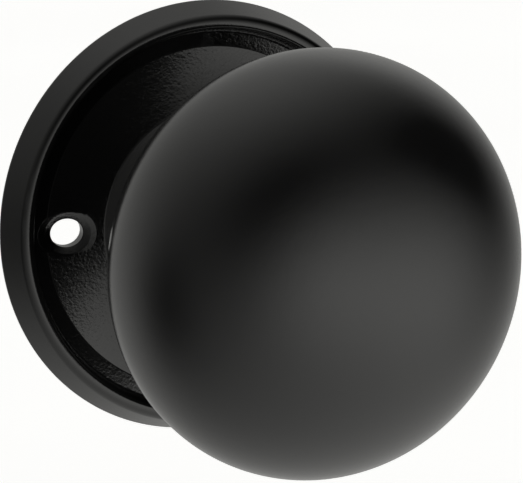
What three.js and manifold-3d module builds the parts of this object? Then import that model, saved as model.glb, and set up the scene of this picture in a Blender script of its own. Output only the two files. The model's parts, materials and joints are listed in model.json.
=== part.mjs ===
// A sprung ball door knob on a round, face-fixed rose, as fitted to one side of a door.
//
// Millimetres, +Z up. The knob turns about the Y axis: +Y points into the door and -Y at the user.
// The origin is on that axis, in the plane of the rose's front bearing face.
// Every profile and placing below counts "out", the distance in front of the door's face.

import * as THREE from "three";
import { mergeVertices } from "three/addons/utils/BufferGeometryUtils.js";
import Module from "manifold-3d";

const wasm = await Module();
wasm.setup();

// ---------- driving dimensions ----------

const ROSE_RADIUS = 32.5; // round rose, 65 mm across
const ROSE_LAND = 3.1; // width of the flat ring that lies on the door
const ROSE_WALL = 1.5;
const RIM_OUT = 4.55; // top of the raised rim round the rose
const RIM_SLOPE = 63; // of its outer face, in degrees
const GROOVE_OUT = 2.0; // flat floor between the rim and the dome
const DOME_RADIUS = 25.8; // where the dome starts to rise from the groove
const DOME_START = THREE.MathUtils.degToRad(7); // its slope there, and where it meets the hub
const DOME_END = THREE.MathUtils.degToRad(20);
const HUB_RADIUS = 17.6; // where the shallow dome turns up towards the boss
const HUB_SLOPE = THREE.MathUtils.degToRad(48);
const BOSS_RADIUS = 14.5;
const BOSS_OUT = 10.0; // front bearing face of the rose: the plane of the origin

const SCREW_CIRCLE = 22.8; // radius to the two fixing holes, at three and nine o'clock
const SCREW_HOLE_RADIUS = 2.1;
const SCREW_HOLE_STRETCH = 1.15; // the holes are this much wider than they are high
const COUNTERSINK_RADIUS = 3.2;
const COUNTERSINK_DEPTH = 0.8;

const KNOB_RADIUS = 30.3; // the ball is slightly flattened along its axis
const KNOB_HALF_DEPTH = 22.5;
const KNOB_CENTRE_OUT = 36.5;
const KNOB_WALL = 1.6;
const KNOB_OPENING = 14.0; // radius of the hole in the back of the shell

const SPINDLE_WIDTH = 8.0; // across flats
const SPINDLE_REACH = 39.0; // how far it stands into the door
const JOURNAL_RADIUS = 8.0; // the shank where it turns in the bush
const RUNNING_GAP = 0.15;
const KEY_HALF_WIDTH = 7.0; // half the distance across the two flats on the shank's tail
const BUSH_OUTER = 9.2;
const GRUB_OUT = 13.9;
const GRUB_RADIUS = 2.0;

const STOP_ANGLE = THREE.MathUtils.degToRad(60); // turn each way from rest
const PIN_CIRCLE = 14.0;
const PIN_RADIUS = 1.3;
const SLOT_HALF_WIDTH = 1.6;

const WIRE_RADIUS = 0.6;
const COIL_RADIUS = 11.2;
const COIL_PITCH = 1.45;
const BEND = 1.0; // centre-line radius where each leg of the spring leaves the coil

const COVER_SCREW_CIRCLE = 15.5;

const ROUND = 48; // facets round the large turned pieces
const SMALL_ROUND = 36;

// ---------- axial stack: [back, front] of each piece, measured out from the door ----------

const STACK = {
  circlip: [0.35, 0.95],
  coverPlate: [0.9, 1.7],
  shimWasher: [1.0, 1.25],
  waveWasher: [1.3, 1.85],
  drivePlate: [1.95, 3.15],
  thrustWasher: [3.3, 3.8],
  bush: [3.95, 10.9],
  neck: [11.05, 16.1],
  basePlate: [16.25, 17.75],
  lockWasher: [17.9, 18.6],
  clampNut: [18.75, 23.0],
  shank: [0.1, 24.4],
  spindle: [-SPINDLE_REACH, 22.5],
};
const BUSH_FLANGE_BACK = BOSS_OUT + RUNNING_GAP;
const CAVITY_ROOF = BOSS_OUT - 1.8;
const CAVITY_RADIUS = 12.6;
const COIL_START = 4.05;
const COIL_END = 7.35;
const coilTurn = ((COIL_END - COIL_START) / COIL_PITCH) * 2 * Math.PI;
const bendTurn = BEND / COIL_RADIUS;
const springEndAngle = bendTurn + coilTurn + bendTurn;

// ---------- materials ----------

const finish = (color, roughness, metalness) =>
  new THREE.MeshStandardMaterial({ color, roughness, metalness });

const blackCoat = finish(0x1b1b1c, 0.45, 0.1);
const blackTexturedCoat = finish(0x161617, 0.55, 0.1);
const zincSteel = finish(0xb4b6b8, 0.4, 0.9);
const springSteel = finish(0x55575a, 0.35, 0.9);
const nylon = finish(0x2a2a2c, 0.6, 0.0);
const brass = finish(0xb08d4a, 0.4, 0.9);

// ---------- shape helpers ----------

// Points of an arc or ellipse as [radius, out], both ends included, angles in degrees.
function arc(centreRadius, centreOut, size, fromDeg, toDeg, steps, sizeOut = size) {
  return Array.from({ length: steps + 1 }, (_, i) => {
    const angle = THREE.MathUtils.degToRad(fromDeg + ((toDeg - fromDeg) * i) / steps);
    return [centreRadius + size * Math.cos(angle), centreOut + sizeOut * Math.sin(angle)];
  });
}

// Turns a [radius, out] profile, listed either way round, about the knob's axis.
function turned(profile, segments = SMALL_ROUND) {
  const points = profile.map(([radius, out]) => new THREE.Vector2(radius, -out));
  if (THREE.ShapeUtils.area(points) < 0) points.reverse();
  return new THREE.LatheGeometry(points, segments);
}

// A turned ring with a rectangular section.
function ring(innerRadius, outerRadius, [back, front], segments = SMALL_ROUND) {
  return turned(
    [
      [innerRadius, front],
      [innerRadius, back],
      [outerRadius, back],
      [outerRadius, front],
      [innerRadius, front],
    ],
    segments,
  );
}

// A flat outline, drawn as seen from inside the door looking out, made thick from back to front.
function plate(shape, [back, front]) {
  const geometry = new THREE.ExtrudeGeometry(shape, {
    depth: front - back,
    bevelEnabled: false,
    curveSegments: 10,
  });
  return geometry.rotateX(Math.PI / 2).translate(0, -back, 0);
}

// A round rod along the knob's axis, centred on the axis until it is placed.
function rod(radius, [back, front], segments = 16) {
  return new THREE.CylinderGeometry(radius, radius, front - back, segments).translate(
    0,
    -(back + front) / 2,
    0,
  );
}

function hexagon(acrossFlats) {
  const corner = acrossFlats / Math.sqrt(3);
  return new THREE.Shape(
    Array.from({ length: 6 }, (_, i) => {
      const angle = (i * Math.PI) / 3;
      return new THREE.Vector2(corner * Math.cos(angle), corner * Math.sin(angle));
    }),
  );
}

function circleHole(x, z, radius) {
  return new THREE.Path().absarc(x, z, radius, 0, 2 * Math.PI, true);
}

function squarePrism(width, [back, front]) {
  return new THREE.BoxGeometry(width, front - back, width).translate(0, -(back + front) / 2, 0);
}

function toSolid(geometry) {
  const bare = geometry.clone();
  bare.deleteAttribute("normal");
  bare.deleteAttribute("uv");
  const merged = mergeVertices(bare, 1e-4);
  return new wasm.Manifold(
    new wasm.Mesh({
      numProp: 3,
      vertProperties: new Float32Array(merged.attributes.position.array),
      triVerts: new Uint32Array(merged.index.array),
    }),
  );
}

function fromSolid(solid) {
  const { vertProperties, triVerts } = solid.getMesh();
  const geometry = new THREE.BufferGeometry();
  geometry.setAttribute("position", new THREE.BufferAttribute(vertProperties, 3));
  geometry.setIndex(new THREE.BufferAttribute(triVerts, 1));
  geometry.computeVertexNormals();
  return geometry;
}

function cut(geometry, ...tools) {
  return fromSolid(tools.reduce((solid, tool) => solid.subtract(toSolid(tool)), toSolid(geometry)));
}

// ---------- rose ----------

// The dome is a shallow hollow sweep, an arc whose slope grows from the groove to the hub.
const SWEEP = (DOME_RADIUS - HUB_RADIUS) / (Math.sin(DOME_END) - Math.sin(DOME_START));
const domeSlope = (radius) => Math.asin(Math.sin(DOME_START) + (DOME_RADIUS - radius) / SWEEP);
const domeOut = (radius) =>
  GROOVE_OUT + SWEEP * (Math.cos(DOME_START) - Math.cos(domeSlope(radius)));
const hubOut = (radius) => domeOut(HUB_RADIUS) + (HUB_RADIUS - radius) * Math.tan(HUB_SLOPE);

// The raised rim: a small square edge, a steep conical face, a rounded crest and a steep inner
// wall down to the groove.
function roseRim() {
  const edgeHeight = 0.4;
  const crest = 1.5; // radius where the face rolls over into the crest
  const flat = 0.15;
  const innerEdge = 0.5;
  const wallSlope = 80;
  const cos = (degrees) => Math.cos(THREE.MathUtils.degToRad(degrees));
  const sin = (degrees) => Math.sin(THREE.MathUtils.degToRad(degrees));
  const tan = (degrees) => sin(degrees) / cos(degrees);
  const faceEnd = RIM_OUT - crest * (1 - cos(RIM_SLOPE));
  const faceWidth = (faceEnd - edgeHeight) / tan(RIM_SLOPE);
  const crestRadius = ROSE_RADIUS - faceWidth - crest * sin(RIM_SLOPE);
  const innerRadius = crestRadius - flat;
  const wallStart = innerRadius - innerEdge * sin(wallSlope);
  const wallTop = RIM_OUT - innerEdge * (1 - cos(wallSlope));
  return [
    [ROSE_RADIUS, 0],
    [ROSE_RADIUS, edgeHeight],
    ...arc(crestRadius, RIM_OUT - crest, crest, 90 - RIM_SLOPE, 90, 4),
    ...arc(innerRadius, RIM_OUT - innerEdge, innerEdge, 90, 90 + wallSlope, 3),
    [wallStart - (wallTop - GROOVE_OUT) / tan(wallSlope), GROOVE_OUT],
  ];
}

function roseProfile() {
  const fillet = 1.8;
  const filletRadius = BOSS_RADIUS + fillet;
  const filletOut = hubOut(filletRadius) + fillet / Math.cos(HUB_SLOPE);
  const filletStart = 270 - THREE.MathUtils.radToDeg(HUB_SLOPE);
  const landInner = ROSE_RADIUS - ROSE_LAND;
  const chamfer = 0.7;
  return [
    ...roseRim(),
    ...[1, 0.75, 0.5, 0.25, 0].map((share) => {
      const radius = HUB_RADIUS + share * (DOME_RADIUS - HUB_RADIUS);
      return [radius, domeOut(radius)];
    }),
    ...arc(filletRadius, filletOut, fillet, filletStart, 180, 3),
    [BOSS_RADIUS, BOSS_OUT - chamfer],
    [BOSS_RADIUS - chamfer, BOSS_OUT],
    [BUSH_OUTER + 0.2, BOSS_OUT],
    [BUSH_OUTER + 0.2, CAVITY_ROOF],
    [CAVITY_RADIUS, CAVITY_ROOF],
    [CAVITY_RADIUS, hubOut(CAVITY_RADIUS) - ROSE_WALL / Math.cos(HUB_SLOPE)],
    [HUB_RADIUS, domeOut(HUB_RADIUS) - ROSE_WALL / Math.cos(DOME_END)],
    [DOME_RADIUS, GROOVE_OUT - ROSE_WALL],
    [landInner - 1, GROOVE_OUT - ROSE_WALL],
    [landInner, 0],
    [ROSE_RADIUS, 0],
  ];
}

// The slightly oval fixing hole and its countersink, square to the sloping dome, on the side
// given by +1 or -1.
function fixingHoleTool(side) {
  const length = 12;
  const sink = COUNTERSINK_DEPTH;
  const flare = COUNTERSINK_RADIUS + (COUNTERSINK_RADIUS - SCREW_HOLE_RADIUS);
  const profile = [
    [0, -length],
    [SCREW_HOLE_RADIUS, -length],
    [SCREW_HOLE_RADIUS, -sink],
    [COUNTERSINK_RADIUS, 0],
    [flare, sink],
    [0, sink],
  ];
  return turned(profile, 24)
    .scale(SCREW_HOLE_STRETCH, 1, 1)
    .rotateZ(side * domeSlope(SCREW_CIRCLE))
    .translate(side * SCREW_CIRCLE, -domeOut(SCREW_CIRCLE), 0);
}

function roseGeometry() {
  const padRadius = 4.15;
  const padCentre = SCREW_CIRCLE - 0.25;
  const postRadius = 2.3;
  const postBack = STACK.coverPlate[1] + RUNNING_GAP;
  const pilotRadius = 1.35;
  const anchorRadius = WIRE_RADIUS + 0.25;
  let rose = toSolid(turned(roseProfile(), ROUND));
  for (const side of [-1, 1]) {
    const pad = rod(padRadius, [0, domeOut(SCREW_CIRCLE + padRadius) - 0.1]);
    const post = rod(postRadius, [postBack, hubOut(COVER_SCREW_CIRCLE + postRadius) - 0.2]);
    rose = rose.add(toSolid(pad.translate(side * padCentre, 0, 0)));
    rose = rose.add(toSolid(post.translate(side * COVER_SCREW_CIRCLE, 0, 0)));
  }
  for (const side of [-1, 1]) {
    const pilot = rod(pilotRadius, [0, 4.0]).translate(side * COVER_SCREW_CIRCLE, 0, 0);
    rose = rose.subtract(toSolid(fixingHoleTool(side)));
    rose = rose.subtract(toSolid(pilot));
  }
  const anchor = onCircle(COIL_RADIUS, springEndAngle);
  const anchorHole = rod(anchorRadius, [CAVITY_ROOF - 0.5, CAVITY_ROOF + 1.0], 12);
  return fromSolid(rose.subtract(toSolid(anchorHole.translate(anchor.x, 0, anchor.z))));
}

// ---------- bearing and washers ----------

function bushGeometry() {
  const bore = JOURNAL_RADIUS + RUNNING_GAP;
  const flangeRadius = 11.5;
  const [back, front] = STACK.bush;
  return turned([
    [bore, front],
    [bore, back],
    [BUSH_OUTER, back],
    [BUSH_OUTER, BUSH_FLANGE_BACK],
    [flangeRadius, BUSH_FLANGE_BACK],
    [flangeRadius, front - 0.2],
    [flangeRadius - 0.2, front],
    [bore, front],
  ]);
}

function thrustWasherGeometry() {
  return ring(JOURNAL_RADIUS + 0.2, 10.0, STACK.thrustWasher);
}

function shimWasherGeometry() {
  return ring(JOURNAL_RADIUS + 0.15, 9.8, STACK.shimWasher);
}

// A thin spring washer whose ring rises and falls three times a turn.
function waveWasherGeometry() {
  const thickness = 0.25;
  const waves = 3;
  const [back, front] = STACK.waveWasher;
  const middle = (back + front) / 2;
  const rise = (front - back - thickness) / 2;
  const flat = [middle - thickness / 2, middle + thickness / 2];
  const geometry = ring(JOURNAL_RADIUS + 0.2, 10.2, flat, 48);
  const position = geometry.attributes.position;
  for (let i = 0; i < position.count; i++) {
    const angle = Math.atan2(position.getZ(i), position.getX(i));
    position.setY(i, position.getY(i) - rise * Math.cos(waves * angle));
  }
  return geometry;
}

// An external retaining ring: an open C with a pierced lug at each end.
function circlipGeometry() {
  const inner = JOURNAL_RADIUS - 0.9;
  const outer = 9.4;
  const lugOuter = 10.3;
  const gapAngle = 0.2;
  const lugAngle = 0.5;
  const bottom = -Math.PI / 2;
  const eyeRadius = 0.6;
  const shape = new THREE.Shape();
  shape.absarc(0, 0, lugOuter, bottom + gapAngle, bottom + lugAngle, false);
  shape.absarc(0, 0, outer, bottom + lugAngle, bottom + 2 * Math.PI - lugAngle, false);
  shape.absarc(0, 0, lugOuter, bottom - lugAngle, bottom - gapAngle, false);
  shape.absarc(0, 0, inner, bottom - gapAngle, bottom + gapAngle - 2 * Math.PI, true);
  for (const side of [-1, 1]) {
    const eye = bottom + (side * (gapAngle + lugAngle)) / 2;
    const eyeCircle = (inner + lugOuter) / 2;
    shape.holes.push(
      circleHole(eyeCircle * Math.cos(eye), eyeCircle * Math.sin(eye), eyeRadius),
    );
  }
  return plate(shape, STACK.circlip);
}

// ---------- cover plate and its screws ----------

// A curved slot centred on the angle given, as a hole path.
function arcSlot(middle) {
  const from = middle - STOP_ANGLE;
  const to = middle + STOP_ANGLE;
  const outer = PIN_CIRCLE + SLOT_HALF_WIDTH;
  const inner = PIN_CIRCLE - SLOT_HALF_WIDTH;
  const end = (angle) => [PIN_CIRCLE * Math.cos(angle), PIN_CIRCLE * Math.sin(angle)];
  const slot = new THREE.Path();
  slot.absarc(0, 0, outer, from, to, false);
  slot.absarc(...end(to), SLOT_HALF_WIDTH, to, to + Math.PI, false);
  slot.absarc(0, 0, inner, to, from, true);
  slot.absarc(...end(from), SLOT_HALF_WIDTH, from + Math.PI, from + 2 * Math.PI, false);
  return slot;
}

function coverPlateGeometry() {
  const radius = 18.4;
  const opening = 10.8;
  const screwHole = 1.55;
  const shape = new THREE.Shape().absarc(0, 0, radius, 0, 2 * Math.PI, false);
  shape.holes.push(circleHole(0, 0, opening));
  shape.holes.push(arcSlot(Math.PI / 2), arcSlot(-Math.PI / 2));
  shape.holes.push(circleHole(COVER_SCREW_CIRCLE, 0, screwHole));
  shape.holes.push(circleHole(-COVER_SCREW_CIRCLE, 0, screwHole));
  return plate(shape, STACK.coverPlate);
}

// A low-headed screw with a cross slot, its head against the back of the cover plate.
function coverScrewGeometry() {
  const headBack = 0.1;
  const headFront = STACK.coverPlate[0] - 0.05;
  const headRadius = 2.3;
  const shaftRadius = 1.2;
  const tip = 3.8;
  const crossWidth = 0.5;
  const crossLength = 2.6;
  const crossDepth = 0.4;
  const body = turned(
    [
      [0, headBack],
      [headRadius - 0.3, headBack],
      [headRadius, headBack + 0.3],
      [headRadius, headFront],
      [shaftRadius, headFront],
      [shaftRadius, tip - 0.5],
      [0.6, tip],
      [0, tip],
    ],
    20,
  );
  const bar = () =>
    new THREE.BoxGeometry(crossLength, 2 * crossDepth, crossWidth).translate(0, -headBack, 0);
  return cut(body, bar(), bar().rotateY(Math.PI / 2));
}

// ---------- drive plate, pins and spring ----------

function onCircle(radius, angle) {
  return { x: radius * Math.cos(angle), z: radius * Math.sin(angle) };
}

function drivePlateGeometry() {
  const radius = 12.8;
  const earHalfWidth = 2.6;
  const join = Math.acos(earHalfWidth / radius);
  const keyRadius = JOURNAL_RADIUS + 0.12;
  const keyFlat = KEY_HALF_WIDTH + 0.12;
  const keyAngle = Math.asin(keyFlat / keyRadius);
  const pinHole = PIN_RADIUS + RUNNING_GAP;
  const shape = new THREE.Shape();
  shape.absarc(0, 0, radius, -join, join, false);
  shape.absarc(0, PIN_CIRCLE, earHalfWidth, 0, Math.PI, false);
  shape.absarc(0, 0, radius, Math.PI - join, Math.PI + join, false);
  shape.absarc(0, -PIN_CIRCLE, earHalfWidth, Math.PI, 2 * Math.PI, false);
  const key = new THREE.Path();
  key.absarc(0, 0, keyRadius, keyAngle, -keyAngle, true);
  key.absarc(0, 0, keyRadius, keyAngle - Math.PI, -keyAngle - Math.PI, true);
  shape.holes.push(key);
  shape.holes.push(circleHole(0, PIN_CIRCLE, pinHole));
  shape.holes.push(circleHole(0, -PIN_CIRCLE, pinHole));
  shape.holes.push(circleHole(COIL_RADIUS, 0, WIRE_RADIUS + 0.25));
  return plate(shape, STACK.drivePlate);
}

function drivePinGeometry() {
  const back = 0.3;
  const front = STACK.drivePlate[1] + 0.1;
  const round = 0.2;
  return turned(
    [
      [0, front],
      [PIN_RADIUS - round, front],
      [PIN_RADIUS, front - round],
      [PIN_RADIUS, back + round],
      [PIN_RADIUS - round, back],
      [0, back],
    ],
    16,
  );
}

// A curve sampled at its own points, so that the tight bends at the ends of a wire stay round.
class WireCurve extends THREE.CatmullRomCurve3 {
  getPointAt(share, target) {
    return this.getPoint(share, target);
  }
  getTangentAt(share, target) {
    return this.getTangent(share, target);
  }
}

// The wire's centre line: a straight leg in the drive plate, the coil, and a leg in the rose.
function springPath() {
  const points = [];
  const put = (angle, out) => {
    const { x, z } = onCircle(COIL_RADIUS, angle);
    points.push(new THREE.Vector3(x, -out, z));
  };
  const quarter = [0, 1, 2, 3].map((i) => (i * Math.PI) / 8);
  put(0, STACK.drivePlate[0] + 0.2);
  quarter.forEach((t) => put(bendTurn * (1 - Math.cos(t)), COIL_START - BEND * (1 - Math.sin(t))));
  const stepsPerTurn = 16;
  const steps = Math.round((stepsPerTurn * coilTurn) / (2 * Math.PI));
  for (let i = 0; i <= steps; i++) {
    const share = i / steps;
    put(bendTurn + share * coilTurn, COIL_START + share * (COIL_END - COIL_START));
  }
  const leave = bendTurn + coilTurn;
  quarter
    .map((t) => Math.PI / 2 - t)
    .reverse()
    .forEach((t) => put(leave + bendTurn * Math.sin(t), COIL_END + BEND * (1 - Math.cos(t))));
  put(springEndAngle, CAVITY_ROOF + 0.8);
  return new WireCurve(points, false, "centripetal");
}

function springGeometry() {
  const path = springPath();
  const wire = new THREE.Shape().absarc(0, 0, WIRE_RADIUS, 0, 2 * Math.PI, false);
  return new THREE.ExtrudeGeometry(wire, {
    steps: path.points.length - 1,
    curveSegments: 4,
    bevelEnabled: false,
    extrudePath: path,
  });
}

// ---------- knob ----------

// The drawn shell: two nested half ellipses joined at the edge of the rear opening.
function knobShellGeometry() {
  const innerRadius = KNOB_RADIUS - KNOB_WALL;
  const innerHalf = KNOB_HALF_DEPTH - KNOB_WALL;
  const opening = (radius) => -THREE.MathUtils.radToDeg(Math.acos(KNOB_OPENING / radius));
  const half = (radius, depth, fromDeg, toDeg, steps) =>
    arc(0, KNOB_CENTRE_OUT, radius, fromDeg, toDeg, steps, depth);
  return turned(
    [
      [0, KNOB_CENTRE_OUT + KNOB_HALF_DEPTH],
      ...half(KNOB_RADIUS, KNOB_HALF_DEPTH, 81, 0, 9),
      ...half(KNOB_RADIUS, KNOB_HALF_DEPTH, -9, opening(KNOB_RADIUS), 6),
      ...half(innerRadius, innerHalf, opening(innerRadius), 80, 9),
      [0, KNOB_CENTRE_OUT + innerHalf],
    ],
    ROUND,
  );
}

// A pressed dish that closes the shell's opening and carries it on the shank.
function basePlateGeometry() {
  const [back, front] = STACK.basePlate;
  const thickness = front - back;
  const bore = JOURNAL_RADIUS + 0.25;
  const plug = KNOB_OPENING - 0.25;
  const flangeStart = 18.5; // just inside the shell
  const flangeWidth = 2.25;
  const flangeRise = 0.9;
  const edge = 0.4;
  return turned([
    [bore, front],
    [bore, back],
    [plug - edge, back],
    [plug, back + edge],
    [plug, flangeStart],
    [plug + flangeWidth, flangeStart + flangeRise],
    [plug + flangeWidth - edge, flangeStart + flangeRise + 1],
    [plug - thickness / 2, flangeStart + thickness / 2],
    [plug - thickness / 2, front],
    [bore, front],
  ]);
}

// Shank profile: keyed tail, ring groove, journal, coved neck and threaded front end.
function shankGeometry() {
  const [tail, tip] = STACK.shank;
  const [neckBack, neckFront] = STACK.neck;
  const grooveRadius = 7.0;
  const beadRadius = 10.5;
  const coveRadius = 2.8;
  const waist = 9.6;
  const grooveGap = 0.05;
  const keyFront = STACK.drivePlate[1] + 0.1;
  const toolMargin = 1; // the cutting tools run this far past the tail
  const flatDepth = 5;
  const grubHoleLength = 12;
  const body = turned(
    [
      [0, tip],
      [JOURNAL_RADIUS - 0.6, tip],
      [JOURNAL_RADIUS, tip - 0.6],
      [JOURNAL_RADIUS, neckFront],
      ...arc(waist + coveRadius, GRUB_OUT, coveRadius, 128, 212, 5),
      [beadRadius, neckBack + 1.0],
      [beadRadius, neckBack + 0.4],
      [beadRadius - 0.4, neckBack],
      [JOURNAL_RADIUS, neckBack],
      [JOURNAL_RADIUS, STACK.circlip[1] + grooveGap],
      [grooveRadius, STACK.circlip[1] + grooveGap],
      [grooveRadius, STACK.circlip[0] - grooveGap],
      [JOURNAL_RADIUS, STACK.circlip[0] - grooveGap],
      [JOURNAL_RADIUS - 0.3, tail],
      [0, tail],
    ],
    SMALL_ROUND,
  );
  const socketEnd = STACK.spindle[1] + 0.3;
  const socket = squarePrism(SPINDLE_WIDTH + 0.3, [tail - toolMargin, socketEnd]);
  const flatTool = (side) =>
    new THREE.BoxGeometry(2 * beadRadius, keyFront - tail + toolMargin, flatDepth).translate(
      0,
      -(keyFront + tail - toolMargin) / 2,
      side * (KEY_HALF_WIDTH + flatDepth / 2),
    );
  const grubHole = rod(GRUB_RADIUS + 0.15, [0, grubHoleLength])
    .rotateX(-Math.PI / 2)
    .translate(0, -GRUB_OUT, -SPINDLE_WIDTH / 4 - grubHoleLength);
  return cut(body, socket, flatTool(1), flatTool(-1), grubHole);
}

function clampNutGeometry() {
  const shape = hexagon(20);
  shape.holes.push(circleHole(0, 0, JOURNAL_RADIUS + RUNNING_GAP));
  return plate(shape, STACK.clampNut);
}

// ---------- grub screw and spindle ----------

// The grub screw, modelled along +Z with its point at the origin and its hexagon socket outwards.
function grubScrewGeometry() {
  const length = 5.0;
  const socketDepth = 2.2;
  const body = new THREE.LatheGeometry(
    [
      [0, 0],
      [1.2, 0],
      [GRUB_RADIUS, 0.8],
      [GRUB_RADIUS, length - 0.3],
      [GRUB_RADIUS - 0.3, length],
      [0, length],
    ].map(([radius, height]) => new THREE.Vector2(radius, height)),
    16,
  ).rotateX(Math.PI / 2);
  const socket = new THREE.ExtrudeGeometry(hexagon(2), {
    depth: socketDepth + 1,
    bevelEnabled: false,
  }).translate(0, 0, length - socketDepth);
  return cut(body, socket);
}

function spindleGeometry() {
  const chamfer = 0.8;
  const [back, front] = STACK.spindle;
  const half = SPINDLE_WIDTH / 2;
  const squareRadius = (size) => size * Math.SQRT2;
  const bar = turned(
    [
      [0, front],
      [squareRadius(half - chamfer), front],
      [squareRadius(half), front - chamfer],
      [squareRadius(half), back + chamfer],
      [squareRadius(half - chamfer), back],
      [0, back],
    ],
    4,
  );
  return bar.rotateY(Math.PI / 4);
}

// ---------- assembly ----------

function piece(name, geometry, material, place = {}) {
  const mesh = new THREE.Mesh(geometry, material);
  mesh.name = name;
  mesh.position.set(place.x ?? 0, place.y ?? 0, place.z ?? 0);
  mesh.rotation.set(place.turnX ?? 0, place.turnY ?? 0, 0);
  return mesh;
}

// Stays still: everything that is screwed to the door.
function roseAssembly() {
  const group = new THREE.Group();
  group.add(
    piece("rose", roseGeometry(), blackTexturedCoat),
    piece("neck_bush", bushGeometry(), nylon),
    piece("cover_plate", coverPlateGeometry(), zincSteel),
    piece("cover_screw_left", coverScrewGeometry(), zincSteel, { x: -COVER_SCREW_CIRCLE }),
    piece("cover_screw_right", coverScrewGeometry(), zincSteel, { x: COVER_SCREW_CIRCLE }),
    piece("return_spring", springGeometry(), springSteel),
  );
  return group;
}

// Turns with the hand: the knob, its shank, and all that is fixed to the shank.
function knobAssembly() {
  const group = new THREE.Group();
  group.add(
    piece("knob_shell", knobShellGeometry(), blackCoat),
    piece("base_plate", basePlateGeometry(), blackCoat),
    piece("lock_washer", ring(JOURNAL_RADIUS + 0.2, 11.0, STACK.lockWasher), springSteel),
    piece("clamp_nut", clampNutGeometry(), zincSteel),
    piece("shank", shankGeometry(), blackCoat),
    piece("thrust_washer", thrustWasherGeometry(), brass),
    piece("drive_plate", drivePlateGeometry(), zincSteel),
    piece("drive_pin_top", drivePinGeometry(), zincSteel, { z: PIN_CIRCLE }),
    piece("drive_pin_bottom", drivePinGeometry(), zincSteel, { z: -PIN_CIRCLE }),
    piece("wave_washer", waveWasherGeometry(), springSteel),
    piece("shim_washer", shimWasherGeometry(), zincSteel),
    piece("circlip", circlipGeometry(), springSteel),
    piece("spindle", spindleGeometry(), zincSteel),
    piece("grub_screw", grubScrewGeometry(), springSteel, {
      y: -GRUB_OUT,
      z: -(SPINDLE_WIDTH / 2 + 0.1),
      turnX: Math.PI,
    }),
  );
  return group;
}

const doorKnob = new THREE.Group();
doorKnob.add(roseAssembly(), knobAssembly());
doorKnob.position.y = BOSS_OUT;

export default doorKnob;
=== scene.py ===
# The looks of a sprung ball door knob on a round rose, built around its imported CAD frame.
#
# Blender works in metres in the CAD frame. Profiles here are drawn in millimetres as
# (radius, out): the distance from the knob's axis, and the distance in front of the door's face.

import json
import math

import bmesh
import bpy
from mathutils import Matrix, Vector


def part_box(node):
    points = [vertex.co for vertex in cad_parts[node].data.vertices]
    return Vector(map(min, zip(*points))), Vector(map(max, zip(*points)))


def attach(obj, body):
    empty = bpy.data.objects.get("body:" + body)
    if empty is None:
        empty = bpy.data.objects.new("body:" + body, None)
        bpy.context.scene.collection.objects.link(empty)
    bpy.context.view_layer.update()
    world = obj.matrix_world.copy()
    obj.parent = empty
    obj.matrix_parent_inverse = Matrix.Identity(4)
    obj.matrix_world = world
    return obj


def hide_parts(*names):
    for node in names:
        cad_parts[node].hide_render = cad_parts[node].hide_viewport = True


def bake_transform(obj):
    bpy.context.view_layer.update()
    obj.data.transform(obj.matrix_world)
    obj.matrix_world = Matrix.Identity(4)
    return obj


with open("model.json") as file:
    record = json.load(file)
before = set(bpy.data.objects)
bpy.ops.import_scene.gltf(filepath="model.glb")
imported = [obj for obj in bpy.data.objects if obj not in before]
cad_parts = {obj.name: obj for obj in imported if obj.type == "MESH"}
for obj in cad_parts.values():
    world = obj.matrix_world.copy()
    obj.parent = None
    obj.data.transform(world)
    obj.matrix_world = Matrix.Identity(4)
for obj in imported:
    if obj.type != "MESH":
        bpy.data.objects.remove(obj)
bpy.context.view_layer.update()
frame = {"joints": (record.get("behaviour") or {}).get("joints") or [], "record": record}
record = frame["record"]

MM = 0.001
QUARTER = math.pi / 2
FULL = 2 * math.pi

# ---------- what the frame says ----------

BODY_OF = {n: body for body, nodes in record["behaviour"]["bodies"].items() for n in nodes}
STOP_ANGLE = math.radians(frame["joints"][0]["range_deg"][1])
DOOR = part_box("rose")[1].y


def reach(node):
    """How far out from the door a node starts and ends, in millimetres."""
    low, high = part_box(node)
    return (DOOR - high.y) / MM, (DOOR - low.y) / MM


def radius(node):
    """The outer radius of a node that is centred on the knob's axis, in millimetres."""
    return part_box(node)[1].x / MM


def middle_of(node):
    """The middle of a node's box as x, y and z, in millimetres."""
    low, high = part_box(node)
    return [(a + b) / 2 / MM for a, b in zip(low, high)]


ROSE_RADIUS = radius("rose")
BOSS_OUT = reach("rose")[1]
KNOB_RADIUS = radius("knob_shell")
KNOB_BACK, KNOB_FRONT = reach("knob_shell")
COVER_SCREW_CIRCLE = middle_of("cover_screw_right")[0]
PIN_CIRCLE = middle_of("drive_pin_top")[2]
PIN_RADIUS = radius("drive_pin_top")
SPINDLE_HALF = radius("spindle")

# ---------- sizes the frame's boxes don't give, in millimetres ----------

# The rose, from its edge inwards. Slopes are measured from the door's face.
ROSE_LAND = 3.1
RIM_OUT = 4.55
RIM_SLOPE = math.radians(63)
GROOVE_OUT = 2.0
GROOVE_RISE = 0.2
GROOVE_INNER = 25.8
DOME_START = math.radians(7)
DOME_END = math.radians(20)
HUB_RADIUS = 17.6
HUB_SLOPE = math.radians(48)
BOSS_RADIUS = 14.5
ROSE_WALL = 1.5
CAVITY_RADIUS = 12.6
CAVITY_ROOF = BOSS_OUT - 1.8
SCREW_CIRCLE = 22.8
SCREW_HOLE_RADIUS = 2.1
SCREW_HOLE_STRETCH = 1.15

# The knob and its bearing.
BUSH_OUTER = 9.2
JOURNAL_RADIUS = 8.0
KNOB_OPENING = 14.0
SHELL_WALL = 1.6
KEY_HALF_WIDTH = 7.0

# The spring, and the gap round its legs.
WIRE_RADIUS = 0.6
LEG_GAP = 0.25
COIL_PITCH = 1.45
COIL_RADIUS = radius("return_spring") - WIRE_RADIUS

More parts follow.
